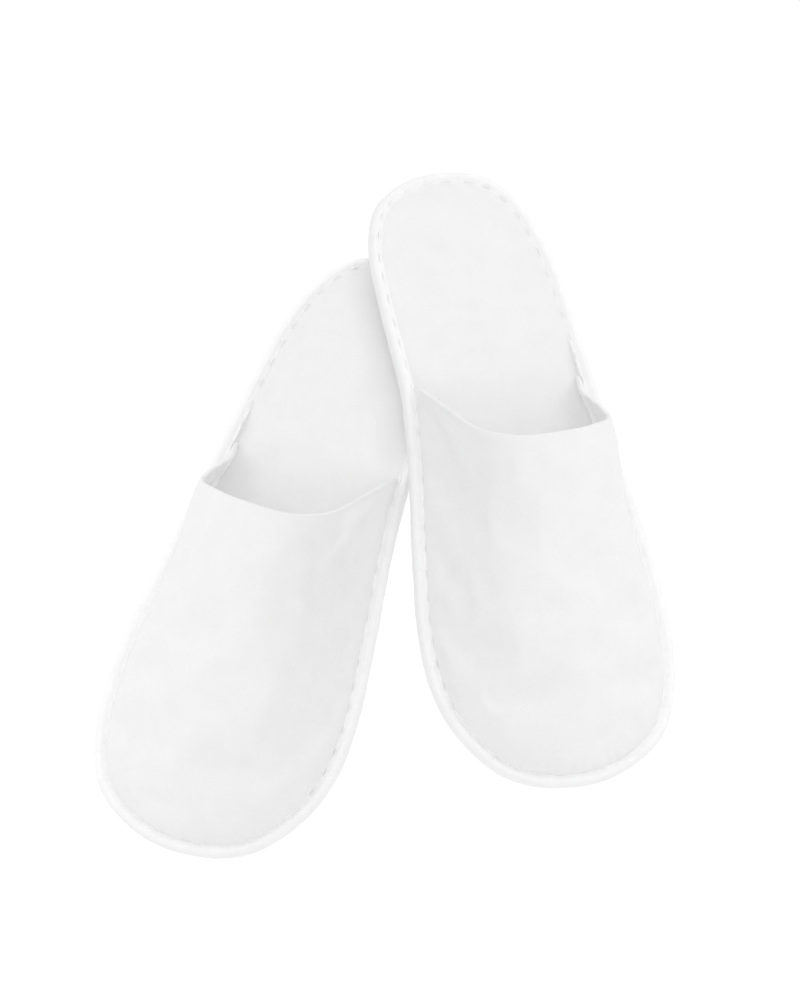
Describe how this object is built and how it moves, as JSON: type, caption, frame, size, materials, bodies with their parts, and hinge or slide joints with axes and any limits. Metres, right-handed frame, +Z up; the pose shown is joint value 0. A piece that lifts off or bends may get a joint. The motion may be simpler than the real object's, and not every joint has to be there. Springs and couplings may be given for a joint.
{
  "type": "spa slippers",
  "caption": "Pair of closed-toe spa slippers with padded fabric uppers and taped foam soles, the right one laid over the left one's heel.",
  "frame": {"origin": "on the floor, under the middle of the pair's common bounding box", "axes": "+Z up; toes point towards -Y and heels towards +Y; the left slipper is on the -X side and the right slipper on the +X side"},
  "size_m": [0.2524, 0.3098, 0.0527],
  "materials": {
    "sole_foam": "matt closed-cell EVA foam with a fine moulded grip pattern",
    "cushion_foam": "soft open-cell foam, matt",
    "footbed_fabric": "brushed non-woven fabric, matt, slightly fuzzy",
    "lining_fabric": "non-woven fabric, matt",
    "shell_fabric": "brushed non-woven fabric, matt, slightly fuzzy",
    "binding_tape": "folded non-woven tape, matt with a slight sheen",
    "thread": "spun polyester sewing thread"
  },
  "bodies": {
    "left_slipper": {"left_outsole": "sole_foam", "left_cushion_foam": "cushion_foam", "left_footbed_cover": "footbed_fabric", "left_upper_lining": "lining_fabric", "left_upper_padding": "cushion_foam", "left_upper_shell": "shell_fabric", "left_edge_binding": "binding_tape", "left_needle_thread": "thread", "left_bobbin_thread": "thread"},
    "right_slipper": {"right_outsole": "sole_foam", "right_cushion_foam": "cushion_foam", "right_footbed_cover": "footbed_fabric", "right_upper_lining": "lining_fabric", "right_upper_padding": "cushion_foam", "right_upper_shell": "shell_fabric", "right_edge_binding": "binding_tape", "right_needle_thread": "thread", "right_bobbin_thread": "thread"}
  },
  "joints": [
    {"name": "right_slipper_lift", "type": "slide", "parent": "left_slipper", "child": "right_slipper", "axis": [0, 0, 1], "range_m": [0, 0.15]}
  ]
}
